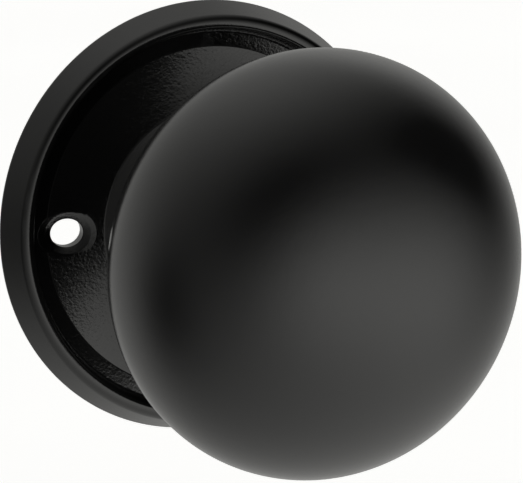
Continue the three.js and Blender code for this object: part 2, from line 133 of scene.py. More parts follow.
# The ball is an ellipse in section, cut off square at its rear opening.
CUT_SHARE = math.sqrt(1 - (KNOB_OPENING / KNOB_RADIUS) ** 2)
KNOB_HALF_DEPTH = (KNOB_FRONT - KNOB_BACK) / (1 + CUT_SHARE)
KNOB_CENTRE_OUT = KNOB_FRONT - KNOB_HALF_DEPTH

# ---------- outline helpers ----------


def arc(centre, size, start, end, steps, size_out=None):
    """Points of an arc or ellipse about a centre, both ends included, angles in radians."""
    x, y = centre
    high = size if size_out is None else size_out
    angles = [start + (end - start) * i / steps for i in range(steps + 1)]
    return [(x + size * math.cos(a), y + high * math.sin(a)) for a in angles]


def circle(x, y, size, steps=48):
    """Points of a whole circle, each once."""
    return arc((x, y), size, 0, FULL, steps)[:-1]


def rounded(points, steps=5):
    """An outline with an arc in place of each corner that states a radius as its third number."""
    result = []
    for i, point in enumerate(points):
        corner = Vector(point[:2])
        size = point[2] if len(point) > 2 else 0
        if not size:
            result.append(tuple(corner))
            continue
        before = (Vector(points[i - 1][:2]) - corner).normalized()
        after = (Vector(points[(i + 1) % len(points)][:2]) - corner).normalized()
        half = before.angle(after) / 2
        centre = corner + (before + after).normalized() * size / math.sin(half)
        start = corner + before * size / math.tan(half) - centre
        end = corner + after * size / math.tan(half) - centre
        sweep = start.angle_signed(end)
        for step in range(steps + 1):
            turn = Matrix.Rotation(-sweep * step / steps, 2)
            result.append(tuple(centre + turn @ start))
    return result


# ---------- mesh helpers ----------

AT_DOOR = Matrix.Translation((0, DOOR, 0))


def to_object(name, bm, place):
    """Turns a finished bmesh into an object in the scene, with its mesh moved to its place."""
    bmesh.ops.recalc_face_normals(bm, faces=bm.faces)
    mesh = bpy.data.meshes.new(name)
    bm.to_mesh(mesh)
    bm.free()
    mesh.transform(place)
    piece = bpy.data.objects.new(name, mesh)
    bpy.context.scene.collection.objects.link(piece)
    return piece


def turned(name, outline, segments=192, place=AT_DOOR):
    """A solid turned about the knob's axis. An outline that starts on the axis ends on it too."""
    bm = bmesh.new()
    angles = [FULL * i / segments for i in range(segments)]
    on_axis = 1e-6
    rings = []
    for r, out in outline:
        spots = [0] if r < on_axis else angles
        points = [(r * math.cos(a), -out, r * math.sin(a)) for a in spots]
        rings.append([bm.verts.new(Vector(p) * MM) for p in points])
    pairs = list(zip(rings, rings[1:]))
    if len(rings[0]) > 1:
        pairs.append((rings[-1], rings[0]))
    for first, second in pairs:
        for i in range(segments):
            j = i + 1
            ends = [first[i % len(first)], first[j % len(first)]]
            ends += [second[j % len(second)], second[i % len(second)]]
            corners = list(dict.fromkeys(ends))
            if len(corners) > 2:
                bm.faces.new(corners)
    return to_object(name, bm, place)


def sheet(name, loops_at, layers, place=AT_DOOR):
    """A flat piece with holes. loops_at(inset) gives its outlines as (x, z) lists, shrunk into the
    metal by inset, and layers lists (out, inset) from one face to the other."""
    bm = bmesh.new()
    levels = []
    for out, inset in layers:
        level = []
        for loop in loops_at(inset):
            level.append([bm.verts.new(Vector((x, -out, z)) * MM) for x, z in loop])
        levels.append(level)
    for lower, upper in zip(levels, levels[1:]):
        for a, b in zip(lower, upper):
            for i in range(len(a)):
                bm.faces.new((a[i - 1], a[i], b[i], b[i - 1]))
    for level in (levels[0], levels[-1]):
        rim = [bm.edges.get((loop[i - 1], loop[i])) for loop in level for i in range(len(loop))]
        bmesh.ops.triangle_fill(bm, use_beauty=True, use_dissolve=False, edges=rim)
    return to_object(name, bm, place)


def soft_layers(span, edge):
    """Layers for a sheet whose two rims are rounded by the radius edge."""
    back, front = span
    steps = 3
    turns = [QUARTER * i / steps for i in range(steps + 1)]
    rise = [(back + edge * (1 - math.cos(t)), edge * (1 - math.sin(t))) for t in turns]
    fall = [(front - (out - back), inset) for out, inset in reversed(rise)]
    return rise + fall


def bake(piece):
    """Makes a piece's modifiers permanent."""
    bpy.context.view_layer.update()
    graph = bpy.context.evaluated_depsgraph_get()
    piece.data = bpy.data.meshes.new_from_object(piece.evaluated_get(graph))
    piece.modifiers.clear()


def weld(piece):
    """Joins points that lie within a micrometre of each other, which keeps the mesh closed."""
    bm = bmesh.new()
    bm.from_mesh(piece.data)
    bmesh.ops.remove_doubles(bm, verts=bm.verts, dist=MM / 1000)
    bmesh.ops.dissolve_degenerate(bm, edges=bm.edges, dist=MM / 1000)
    bm.to_mesh(piece.data)
    bm.free()


def combine(piece, tool, operation):
    """Joins a tool to a piece (UNION) or cuts it away (DIFFERENCE). The tool is used up."""
    modifier = piece.modifiers.new("combine", "BOOLEAN")
    modifier.operation = operation
    modifier.solver = "EXACT"
    modifier.object = tool
    bake(piece)
    weld(piece)
    bpy.data.objects.remove(tool)


def coat(piece, material, crease):
    """Gives a piece its one material, and smooth shading with creases sharper than an angle."""
    mesh = piece.data
    mesh.materials.clear()
    mesh.materials.append(material)
    mesh.polygons.foreach_set("use_smooth", [True] * len(mesh.polygons))
    mesh.set_sharp_from_angle(angle=math.radians(crease))


def stand_for(node):
    """Hides a CAD node, so that a piece can stand in its place."""
    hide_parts(node)


def settle(piece, node, material):
    """Coats a finished piece, evens its shading and fixes it to its node's body."""
    coat(piece, material, 32)
    normals = piece.modifiers.new("even_normals", "WEIGHTED_NORMAL")
    normals.keep_sharp = True
    stand_for(node)
    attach(piece, BODY_OF[node])


# ---------- material helpers ----------


class Shader:
    """A material's node tree with short ways to add to it. Lengths are in metres."""

    def __init__(self, name):
        self.material = bpy.data.materials.new(name)
        self.material.use_nodes = True
        self.tree = self.material.node_tree
        self.surface = self.tree.nodes["Principled BSDF"]
        self.place = self.add("ShaderNodeTexCoord").outputs["Object"]

    def add(self, kind, inputs=None, **settings):
        made = self.tree.nodes.new(kind)
        for key, value in settings.items():
            setattr(made, key, value)
        for key, value in (inputs or {}).items():
            self.feed(made.inputs[key], value)
        return made

    def feed(self, socket, value):
        if isinstance(value, bpy.types.NodeSocket):
            self.tree.links.new(value, socket)
        else:
            socket.default_value = value

    def set(self, name, value):
        self.feed(self.surface.inputs[name], value)

    def math(self, operation, *values):
        made = self.add("ShaderNodeMath", operation=operation)
        for socket, value in zip(made.inputs, values):
            self.feed(socket, value)
        return made.outputs[0]

    def noise(self, pitch_mm, detail=2, place=None, distortion=0):
        inputs = {
            "Vector": place or self.place,
            "Scale": 1 / (pitch_mm * MM),
            "Detail": detail,
            "Distortion": distortion,
        }
        return self.add("ShaderNodeTexNoise", inputs).outputs["Fac"]

    def cells(self, pitch_mm):
        inputs = {"Vector": self.place, "Scale": 1 / (pitch_mm * MM)}
        made = self.add("ShaderNodeTexVoronoi", inputs, feature="SMOOTH_F1")
        return made.outputs["Distance"]

    def spread(self, value, low, high, start=0.3, end=0.7):
        """Maps a value between start and end smoothly to between low and high."""
        made = self.add("ShaderNodeMapRange", interpolation_type="SMOOTHSTEP")
        for key, number in zip(("From Min", "From Max", "To Min", "To Max"), (start, end, low, high)):
            self.feed(made.inputs[key], number)
        self.feed(made.inputs["Value"], value)
        return made.outputs["Result"]

    def blend(self, share, first, second):
        made = self.add("ShaderNodeMix", data_type="RGBA")
        colour_inputs = [s for s in made.inputs if s.type == "RGBA"]
        self.feed(made.inputs["Factor"], share)
        self.feed(colour_inputs[0], (*first, 1) if isinstance(first, tuple) else first)
        self.feed(colour_inputs[1], (*second, 1) if isinstance(second, tuple) else second)
        return next(s for s in made.outputs if s.type == "RGBA")

    def axis_distance(self):
        """Distance from the knob's axis."""
        parts = self.add("ShaderNodeSeparateXYZ", {"Vector": self.place}).outputs
        squares = self.math("ADD", self.math("POWER", parts["X"], 2), self.math("POWER", parts["Z"], 2))
        return self.math("SQRT", squares)

    def edges(self):
        """Near 1 on convex edges, where a finish wears first."""
        pointed = self.add("ShaderNodeNewGeometry").outputs["Pointiness"]
        flat, pointed_edge = 0.5, 0.56
        return self.spread(pointed, 0, 1, flat, pointed_edge)

    def bump(self, height, depth_mm):
        """Adds relief on top of any that the surface already has."""
        below = self.surface.inputs["Normal"]
        inputs = {"Height": height, "Distance": depth_mm * MM, "Strength": 1.0}
        made = self.add("ShaderNodeBump", inputs)
        if below.is_linked:
            self.tree.links.new(below.links[0].from_socket, made.inputs["Normal"])
        self.tree.links.new(made.outputs["Normal"], below)


# ---------- materials ----------

BLACK = (0.0028, 0.0028, 0.0029)
BLACK_PATCH = (0.0038, 0.0038, 0.0038)
BLACK_WORN = (0.010, 0.010, 0.0102)
ROSE_BLACK = (0.0012, 0.0012, 0.0012)
ROSE_PATCH = (0.0016, 0.0016, 0.0016)
ROSE_WORN = (0.006, 0.006, 0.0061)
COAT_IOR = 1.5
LEATHER_END = (28.6 * MM, 29.6 * MM)
SOFT_WHITE = (0.93, 0.93, 0.93)
WHITE = (0.95, 0.95, 0.95)


def smooth_coat():
    """Satin black powder coat: an even skin with a very faint fine grain and orange peel."""
    s = Shader("satin_black_coat")
    patches = s.spread(s.noise(14), 0, 1)
    colour = s.blend(patches, BLACK, BLACK_PATCH)
    s.set("Base Color", s.blend(s.edges(), colour, BLACK_WORN))
    grain = s.noise(0.45, detail=3)
    gloss = s.spread(patches, 0.17, 0.20, 0, 1)
    s.set("Roughness", s.math("ADD", s.spread(grain, -0.02, 0.02), gloss))
    s.set("IOR", COAT_IOR)
    s.bump(s.noise(2.6, detail=1), 0.012)
    s.bump(grain, 0.006)
    return s.material


def textured_coat():
    """The rose's coat: leathery on the dome and in the groove, nearly smooth on the rim."""
    s = Shader("leather_black_coat")
    leather = s.spread(s.axis_distance(), 1, 0.15, *LEATHER_END)
    patches = s.spread(s.noise(9), 0, 1)
    colour = s.blend(patches, ROSE_BLACK, ROSE_PATCH)
    s.set("Base Color", s.blend(s.edges(), colour, ROSE_WORN))
    wrinkles = s.noise(0.5, detail=2, distortion=1.2)
    pits = s.cells(0.42)
    height = s.math("ADD", s.math("MULTIPLY", wrinkles, 1.2), s.math("MULTIPLY", pits, 0.7))
    fine = s.noise(0.35, detail=2)
    s.set("Roughness", s.math("ADD", s.spread(fine, -0.02, 0.02), 0.16))
    s.set("IOR", COAT_IOR)
    s.bump(s.noise(2.2, detail=1), 0.008)
    s.bump(fine, 0.003)
    s.bump(s.math("MULTIPLY", height, leather), 0.017)
    return s.material


def plated_steel(name, plain, tinted, roughness, turned_lines=False, drawn_lines=False):
    """Plated or oiled steel with cloudy colour, fine tool lines and brighter rubbed edges."""
    s = Shader(name)
    clouds = s.spread(s.noise(5, detail=4), 0, 1, 0.35, 0.65)
    colour = s.blend(clouds, plain, tinted)
    bright = tuple(min(1, c * 1.35) for c in plain)
    s.set("Base Color", s.blend(s.edges(), colour, bright))
    s.set("Metallic", 1.0)
    specks = s.noise(0.5, detail=3)
    gloss = s.spread(clouds, roughness, roughness + 0.08, 0, 1)
    s.set("Roughness", s.math("ADD", s.spread(specks, -0.05, 0.05), gloss))
    s.bump(specks, 0.0012)
    if turned_lines:
        rings = s.add("ShaderNodeCombineXYZ", {"X": s.axis_distance()}).outputs[0]
        s.bump(s.noise(0.16, detail=2, place=rings), 0.006)
    if drawn_lines:
        parts = s.add("ShaderNodeSeparateXYZ", {"Vector": s.place}).outputs
        along = s.math("MULTIPLY", parts["Y"], 0.02)
        lines = s.add("ShaderNodeCombineXYZ", {"X": parts["X"], "Y": along, "Z": parts["Z"]}).outputs[0]
        s.bump(s.noise(0.22, detail=3, place=lines), 0.004)
    return s.material


def moulded_nylon():
    """Dull black nylon with a fine mould grain."""
    s = Shader("black_nylon")
    patches = s.spread(s.noise(6), 0, 1)
    s.set("Base Color", s.blend(patches, (0.012, 0.012, 0.013), (0.018, 0.018, 0.019)))
    s.set("Roughness", s.spread(s.noise(0.3, detail=3), 0.48, 0.58))
    s.bump(s.noise(0.25, detail=2), 0.008)
    return s.material


ball_coat = smooth_coat()
rose_coat = textured_coat()
zinc = plated_steel("bright_zinc", (0.60, 0.61, 0.63), (0.52, 0.53, 0.50), 0.26, turned_lines=True)
drawn_zinc = plated_steel("drawn_zinc", (0.60, 0.61, 0.63), (0.54, 0.54, 0.51), 0.34, drawn_lines=True)
dark_steel = plated_steel("oiled_spring_steel", (0.13, 0.135, 0.14), (0.10, 0.095, 0.09), 0.30)
brass = plated_steel("plain_brass", (0.60, 0.42, 0.16), (0.45, 0.30, 0.12), 0.30, turned_lines=True)
nylon = moulded_nylon()

# ---------- rose ----------

# The dome is a shallow hollow sweep, an arc whose slope grows from the groove to the hub.
SWEEP = (GROOVE_INNER - HUB_RADIUS) / (math.sin(DOME_END) - math.sin(DOME_START))


def dome_slope(r):
    """Slope of the dome's surface at a radius, in radians."""
    return math.asin(math.sin(DOME_START) + (GROOVE_INNER - r) / SWEEP)


def dome_out(r):
    """Surface of the dome at a radius."""
    return GROOVE_OUT + SWEEP * (math.cos(DOME_START) - math.cos(dome_slope(r)))


def hub_out(r):
    """Surface of the steeper hub that rises from the dome to the boss."""
    return dome_out(HUB_RADIUS) + (HUB_RADIUS - r) * math.tan(HUB_SLOPE)


def rose_rim():
    """A small square edge, a steep conical face, a rounded crest and a steep inner wall."""
    edge_height = 0.4
    crest = 1.5
    flat = 0.15
    inner_edge = 0.5
    wall_slope = math.radians(80)
    face_end = RIM_OUT - crest * (1 - math.cos(RIM_SLOPE))
    face_width = (face_end - edge_height) / math.tan(RIM_SLOPE)
    crest_radius = ROSE_RADIUS - face_width - crest * math.sin(RIM_SLOPE)
    inner_radius = crest_radius - flat
    wall_start = inner_radius - inner_edge * math.sin(wall_slope)
    wall_top = RIM_OUT - inner_edge * (1 - math.cos(wall_slope))
    foot_out = GROOVE_OUT + GROOVE_RISE  # the groove's floor rises a little to the rim
    wall_foot = wall_start - (wall_top - foot_out) / math.tan(wall_slope)
    outline = [(ROSE_RADIUS, edge_height, 0.35)]
    outline += arc((crest_radius, RIM_OUT - crest), crest, QUARTER - RIM_SLOPE, QUARTER, 14)
    inner_middle = (inner_radius, RIM_OUT - inner_edge)
    outline += arc(inner_middle, inner_edge, QUARTER, QUARTER + wall_slope, 10)
    outline.append((wall_foot, foot_out, 0.8))
    return outline


def rose_outline():
    """The rose's section, up over its front from the edge to the bush and back along the inside."""
    fillet = 1.8
    shoulder = 0.7
    crease_width = 0.16
    crease_depth = 0.08
    dome_under = dome_out(HUB_RADIUS) - ROSE_WALL / math.cos(DOME_END)
    hub_under = hub_out(CAVITY_RADIUS) - ROSE_WALL / math.cos(HUB_SLOPE)
    land_inner = ROSE_RADIUS - ROSE_LAND
    outline = [(ROSE_RADIUS, 0, 0.2)]
    outline += rose_rim()
    outline += [
        (GROOVE_INNER + crease_width, GROOVE_OUT),
        (GROOVE_INNER + crease_width / 2, GROOVE_OUT - crease_depth),
        (GROOVE_INNER, GROOVE_OUT),
    ]
    steps = 24
    sweep = [GROOVE_INNER + (HUB_RADIUS - GROOVE_INNER) * i / steps for i in range(1, steps)]
    outline += [(r, dome_out(r)) for r in sweep]
    outline += [
        (HUB_RADIUS, dome_out(HUB_RADIUS), 0.6),
        (BOSS_RADIUS, hub_out(BOSS_RADIUS), fillet),
        (BOSS_RADIUS, BOSS_OUT, shoulder),
        (BUSH_OUTER + 0.2, BOSS_OUT, 0.1),
        (BUSH_OUTER + 0.2, CAVITY_ROOF, 0.1),
        (CAVITY_RADIUS, CAVITY_ROOF, 0.5),
        (CAVITY_RADIUS, hub_under, 0.3),
        (HUB_RADIUS, dome_under, 0.8),
        (GROOVE_INNER, GROOVE_OUT - ROSE_WALL, 0.8),
        (land_inner - 1, GROOVE_OUT - ROSE_WALL, 0.2),
        (land_inner, 0, 0.1),
    ]
    return rounded(outline)


def fixing_hole_tool(side):
    """A slightly oval screw hole with a softly dished mouth, square to the sloping dome."""
    length = 12
    throat_depth = 0.8
    dish_radius, dish_depth = 3.0, 0.14
    mouth_radius, mouth_rise = 3.7, 0.1
    open_radius, open_rise = 4.1, 0.7
    outline = [
        (0, -length),
        (SCREW_HOLE_RADIUS, -length),
        (SCREW_HOLE_RADIUS, -throat_depth, 0.3),
        (dish_radius, -dish_depth, 0.5),
        (mouth_radius, mouth_rise),
        (open_radius, open_rise),
        (0, open_rise),
    ]
    stretch = Matrix.Scale(SCREW_HOLE_STRETCH, 4, (1, 0, 0))
    lean = Matrix.Rotation(side * dome_slope(SCREW_CIRCLE), 4, "Z")
    spot = Matrix.Translation((side * SCREW_CIRCLE * MM, DOOR - dome_out(SCREW_CIRCLE) * MM, 0))
    return turned("hole_tool", rounded(outline), 96, spot @ lean @ stretch)


def rod(name, size, span, x, z=0.0):
    """A round bar with slightly rounded ends, parallel to the knob's axis."""
    back, front = span
    place = Matrix.Translation((x * MM, DOOR, z * MM))
    outline = rounded([(0, back), (size, back, 0.15), (size, front, 0.15), (0, front)])
    return turned(name, outline, 64, place)


def rose_casting():
    """The turned rose with its screw pads, posts, holes and the spring's anchor hole."""
    pad_radius = 4.15
    post_radius = 2.3
    post_back = reach("cover_plate")[1] + 0.15
    pilot_radius = 1.35
    pilot_front = 4.0
    piece = turned("rose_casting", rose_outline(), 256)
    for side in (-1, 1):
        pad_front = dome_out(SCREW_CIRCLE + pad_radius) - 0.1
        pad = rod("pad", pad_radius, (0, pad_front), side * (SCREW_CIRCLE - 0.25))
        combine(piece, pad, "UNION")
        post_front = hub_out(COVER_SCREW_CIRCLE + post_radius) - 0.3
        post = rod("post", post_radius, (post_back, post_front), side * COVER_SCREW_CIRCLE)
        combine(piece, post, "UNION")
    for side in (-1, 1):
        combine(piece, fixing_hole_tool(side), "DIFFERENCE")
        pilot = rod("pilot", pilot_radius, (0, pilot_front), side * COVER_SCREW_CIRCLE)
        combine(piece, pilot, "DIFFERENCE")
    x, z = spring_spot(SPRING_END_ANGLE)
    anchor_span = (CAVITY_ROOF - 0.5, CAVITY_ROOF + 1.0)
    anchor = rod("anchor", WIRE_RADIUS + LEG_GAP, anchor_span, x, z)
    combine(piece, anchor, "DIFFERENCE")
    settle(piece, "rose", rose_coat)


# ---------- spring ----------

BEND = 1.0
COIL_START = reach("drive_plate")[1] + 0.9
COIL_END = COIL_START + 3.3
COIL_TURN = (COIL_END - COIL_START) / COIL_PITCH * FULL
BEND_TURN = BEND / COIL_RADIUS
SPRING_END_ANGLE = COIL_TURN + 2 * BEND_TURN


def spring_spot(angle):
    """Where the wire's middle is, as (x, z), at an angle round the coil."""
    return COIL_RADIUS * math.cos(angle), COIL_RADIUS * math.sin(angle)


def spring_centre_line():
    """(angle, out) along the wire: a leg in the drive plate, the coil, and a leg in the rose."""
    turns = [QUARTER * i / 8 for i in range(9)]
    line = [(0, reach("return_spring")[0]), (0, COIL_START - 1.2 * BEND)]
    line += [(BEND_TURN * (1 - math.cos(t)), COIL_START - BEND * (1 - math.sin(t))) for t in turns]
    steps = int(64 * COIL_TURN / FULL)
    for i in range(1, steps):
        share = i / steps
        line.append((BEND_TURN + share * COIL_TURN, COIL_START + share * (COIL_END - COIL_START)))
    leave = BEND_TURN + COIL_TURN
    line += [(leave + BEND_TURN * math.sin(t), COIL_END + BEND * (1 - math.cos(t))) for t in turns]
    line.append((SPRING_END_ANGLE, reach("return_spring")[1]))
    return line


def return_spring():
    """Round wire swept along the centre line, one end held by the rose and one by the knob."""
    sides = 20
    line = spring_centre_line()
    points = []
    for angle, out in line:
        x, z = spring_spot(angle)
        points.append(Vector((x, -out, z)))
    bm = bmesh.new()
    rings = []
    for i, point in enumerate(points):
        ahead = (points[min(i + 1, len(points) - 1)] - points[max(i - 1, 0)]).normalized()
        outward = Vector((point.x, 0, point.z)).normalized()
        across = ahead.cross(outward).normalized()
        ring = []
        for k in range(sides):
            turn = FULL * k / sides
            offset = outward * math.cos(turn) + across * math.sin(turn)
            ring.append(bm.verts.new((point + offset * WIRE_RADIUS) * MM))
        rings.append(ring)
    for first, second in zip(rings, rings[1:]):
        for k in range(sides):
            bm.faces.new((first[k - 1], first[k], second[k], second[k - 1]))
    bm.faces.new(rings[0])
    bm.faces.new(list(reversed(rings[-1])))
    piece = to_object("torsion_spring", bm, AT_DOOR)
    coat(piece, dark_steel, 60)
    stand_for("return_spring")
    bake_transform(piece)


# ---------- bearing and washers ----------


def ring_outline(inner, outer, back, front, edge):
    """A rectangular section with its corners rounded."""
    corners = [(inner, front), (inner, back), (outer, back), (outer, front)]
    return rounded([(r, out, edge) for r, out in corners])


def washer(name, node, inner, material, edge=0.08):
    """A flat washer."""
    outline = ring_outline(inner, radius(node), *reach(node), edge)
    settle(turned(name, outline), node, material)


def neck_bush():
    """A flanged plain bearing."""
    bore = JOURNAL_RADIUS + 0.15
    back, front = reach("neck_bush")
    flange = radius("neck_bush")
    under = BOSS_OUT + 0.15
    outline = [
        (bore, front, 0.15),
        (bore, back, 0.15),
        (BUSH_OUTER, back, 0.15),
        (BUSH_OUTER, under),
        (flange, under, 0.15),
        (flange, front, 0.3),
    ]
    settle(turned("nylon_bush", rounded(outline)), "neck_bush", nylon)


def wave_washer():
    """A thin spring washer whose ring rises and falls three times a turn."""
    thickness = 0.25
    waves = 3
    back, front = reach("wave_washer")
    middle = (back + front) / 2
    rise = (front - back - thickness) / 2
    inner, outer = JOURNAL_RADIUS + 0.2, radius("wave_washer")
    edge = 0.06
    outline = ring_outline(inner, outer, middle - thickness / 2, middle + thickness / 2, edge)
    piece = turned("wave_washer_ring", outline)
    for vertex in piece.data.vertices:
        angle = math.atan2(vertex.co.z, vertex.co.x)
        vertex.co.y -= rise * math.cos(waves * angle) * MM
    settle(piece, "wave_washer", dark_steel)


def circlip():
    """An open retaining ring with a pierced lug at each end."""
    inner = JOURNAL_RADIUS - 0.9
    outer = 9.4
    lug = 10.3
    eye_circle = (inner + lug) / 2
    eye = 0.6
    gap_angle = 0.2
    lug_angle = 0.5
    bottom = -QUARTER

    def loops(inset):
        side = inset / inner
        gap = gap_angle + side
        lug_end = lug_angle - side
        ring = arc((0, 0), lug - inset, bottom + gap, bottom + lug_end, 10)
        ring += arc((0, 0), outer - inset, bottom + lug_end, bottom + FULL - lug_end, 160)
        ring += arc((0, 0), lug - inset, bottom - lug_end, bottom - gap, 10)
        ring += arc((0, 0), inner + inset, bottom - gap, bottom + gap - FULL, 150)
        eyes = []
        for way in (-1, 1):
            angle = bottom + way * (gap_angle + lug_angle) / 2
            x, z = eye_circle * math.cos(angle), eye_circle * math.sin(angle)
            eyes.append(circle(x, z, eye + inset, 24))
        return [ring] + eyes

    piece = sheet("retaining_ring", loops, soft_layers(reach("circlip"), 0.1))
    settle(piece, "circlip", dark_steel)


# ---------- cover plate, screws, drive plate and pins ----------


def cover_plate():
    """The spring case's lid, with a curved slot for each drive pin."""
    outer = radius("cover_plate")
    opening = 10.8
    screw_hole = 1.55
    half = 1.6

    def slot(middle, inset):
        size = half + inset
        ends = []
        for angle in (middle - STOP_ANGLE, middle + STOP_ANGLE):
            ends.append((angle, (PIN_CIRCLE * math.cos(angle), PIN_CIRCLE * math.sin(angle))))
        (low, low_spot), (high, high_spot) = ends
        loop = arc((0, 0), PIN_CIRCLE + size, low, high, 60)[:-1]
        loop += arc(high_spot, size, high, high + math.pi, 16)[:-1]
        loop += arc((0, 0), PIN_CIRCLE - size, high, low, 60)[:-1]
        loop += arc(low_spot, size, low + math.pi, low + FULL, 16)[:-1]
        return loop

    def loops(inset):
        found = [circle(0, 0, outer - inset, 192), circle(0, 0, opening + inset, 128)]
        found += [slot(QUARTER, inset), slot(-QUARTER, inset)]
        found += [circle(way * COVER_SCREW_CIRCLE, 0, screw_hole + inset, 40) for way in (-1, 1)]
        return found

    piece = sheet("case_lid", loops, soft_layers(reach("cover_plate"), 0.12))
    settle(piece, "cover_plate", zinc)


def cross_tool(place, back):
    """A tapered cross slot, open at the back."""
    half_length = 1.35
    half_width = 0.27
    depth = 0.45
    overshoot = 0.5
    flare, taper = -0.2, 0.4

    def loops(inset):
        a, b = half_length - inset, half_width - inset * 0.3
        arm = [(a, -b), (a, b), (b, b)]
        cross = []
        for turn in range(4):
            way = Matrix.Rotation(turn * QUARTER, 2)
            cross += [tuple(way @ Vector(point)) for point in arm]
        return [cross]

    return sheet("cross_tool", loops, [(back - overshoot, flare), (back + depth, taper)], place)


def cover_screw(node, name):
    """A domed cross-head screw."""
    back, front = reach(node)
    x = middle_of(node)[0]
    place = Matrix.Translation((x * MM, DOOR, 0))
    head_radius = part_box(node)[1].x / MM - x
    head_front = reach("cover_plate")[0] - 0.05
    head_draft = 0.1
    shaft = 1.2
    point = shaft / 2
    point_length = 0.5
    outline = [
        (0, back),
        (head_radius - head_draft, back, 0.35),
        (head_radius, head_front, 0.08),
        (shaft, head_front),
        (shaft, front - point_length, 0.1),
        (point, front),
        (0, front),
    ]
    piece = turned(name, rounded(outline), 72, place)
    combine(piece, cross_tool(place, back), "DIFFERENCE")
    settle(piece, node, drawn_zinc)


def drive_plate():
    """Keyed to the shank by two flats; its two ears carry the pins."""
    outer = 12.8
    ear = 2.6
    key_radius = JOURNAL_RADIUS + 0.12
    key_flat = KEY_HALF_WIDTH + 0.12

    def loops(inset):
        join = math.acos(ear / outer)
        size = outer - inset
        rim = arc((0, 0), size, -join, join, 60)
        rim += arc((0, PIN_CIRCLE), ear - inset, 0, math.pi, 30)
        rim += arc((0, 0), size, math.pi - join, math.pi + join, 60)
        rim += arc((0, -PIN_CIRCLE), ear - inset, math.pi, FULL, 30)
        corner = math.asin((key_flat + inset) / (key_radius + inset))
        key = arc((0, 0), key_radius + inset, corner, -corner, 40)
        key += arc((0, 0), key_radius + inset, corner - math.pi, -corner - math.pi, 40)
        hole = PIN_RADIUS + 0.15 + inset
        found = [rim, key, circle(0, PIN_CIRCLE, hole, 40), circle(0, -PIN_CIRCLE, hole, 40)]
        found.append(circle(COIL_RADIUS, 0, WIRE_RADIUS + LEG_GAP + inset, 32))
        return found

    piece = sheet("spring_drive_plate", loops, soft_layers(reach("drive_plate"), 0.12))
    settle(piece, "drive_plate", zinc)


def drive_pin(node, name):
    """A pin that works the spring and meets the end of its slot in the lid."""
    piece = rod(name, PIN_RADIUS, reach(node), 0, middle_of(node)[2])
    settle(piece, node, zinc)


# ---------- knob ----------


def knob_ball():
    """The drawn shell, with a rounded lip round its rear opening."""
    inner_radius = KNOB_RADIUS - SHELL_WALL
    inner_half = KNOB_HALF_DEPTH - SHELL_WALL
    centre = (0, KNOB_CENTRE_OUT)
    outer_end = -math.acos(KNOB_OPENING / KNOB_RADIUS)
    inner_end = -math.acos(KNOB_OPENING / inner_radius)
    lip = 0.03
    outer_start = QUARTER - 0.02
    inner_start = QUARTER - 0.05
    outline = [(0, KNOB_FRONT)]
    outline += arc(centre, KNOB_RADIUS, outer_start, outer_end + lip, 120, KNOB_HALF_DEPTH)
    outline.append((KNOB_OPENING, KNOB_BACK, 0.3))
    outline.append((KNOB_OPENING, KNOB_CENTRE_OUT + inner_half * math.sin(inner_end), 0.2))
    outline += arc(centre, inner_radius, inner_end + lip, inner_start, 60, inner_half)
    outline.append((0, KNOB_CENTRE_OUT + inner_half))
    settle(turned("knob_ball", rounded(outline), 256), "knob_shell", ball_coat)


def base_plate():
    """A shallow cup whose floor sits on the neck and whose sloping flange rests inside the ball."""
    back = reach("base_plate")[0]
    front = back + 1.5
    bore = JOURNAL_RADIUS + 0.25
    plug = KNOB_OPENING - 0.25
    wall = 0.75
    flange = radius("base_plate")
    flange_start = 18.5
    flange_rise = 0.9
    flange_edge = 0.4
    outline = [
        (bore, front, 0.15),
        (bore, back, 0.15),
        (plug, back, 0.5),
        (plug, flange_start, 0.1),
        (flange, flange_start + flange_rise, 0.1),
        (flange - flange_edge, flange_start + flange_rise + 1.0, 0.1),
        (plug - wall, flange_start + wall, 0.3),
        (plug - wall, front, 0.3),
    ]
    settle(turned("knob_base_plate", rounded(outline)), "base_plate", ball_coat)


def block(name, half_x, half_z, span, z=0.0, round_corner=0.3):
    """A cutting block: an upright rectangle with rounded corners, along the knob's axis."""

    def loops(inset):
        a, b = half_x - inset, half_z - inset
        corners = [(px, pz, round_corner) for px, pz in ((a, -b), (a, b), (-a, b), (-a, -b))]
        return [[(px, z + pz) for px, pz in rounded(corners, 4)]]

    return sheet(name, loops, [(span[0], 0), (span[1], 0)])


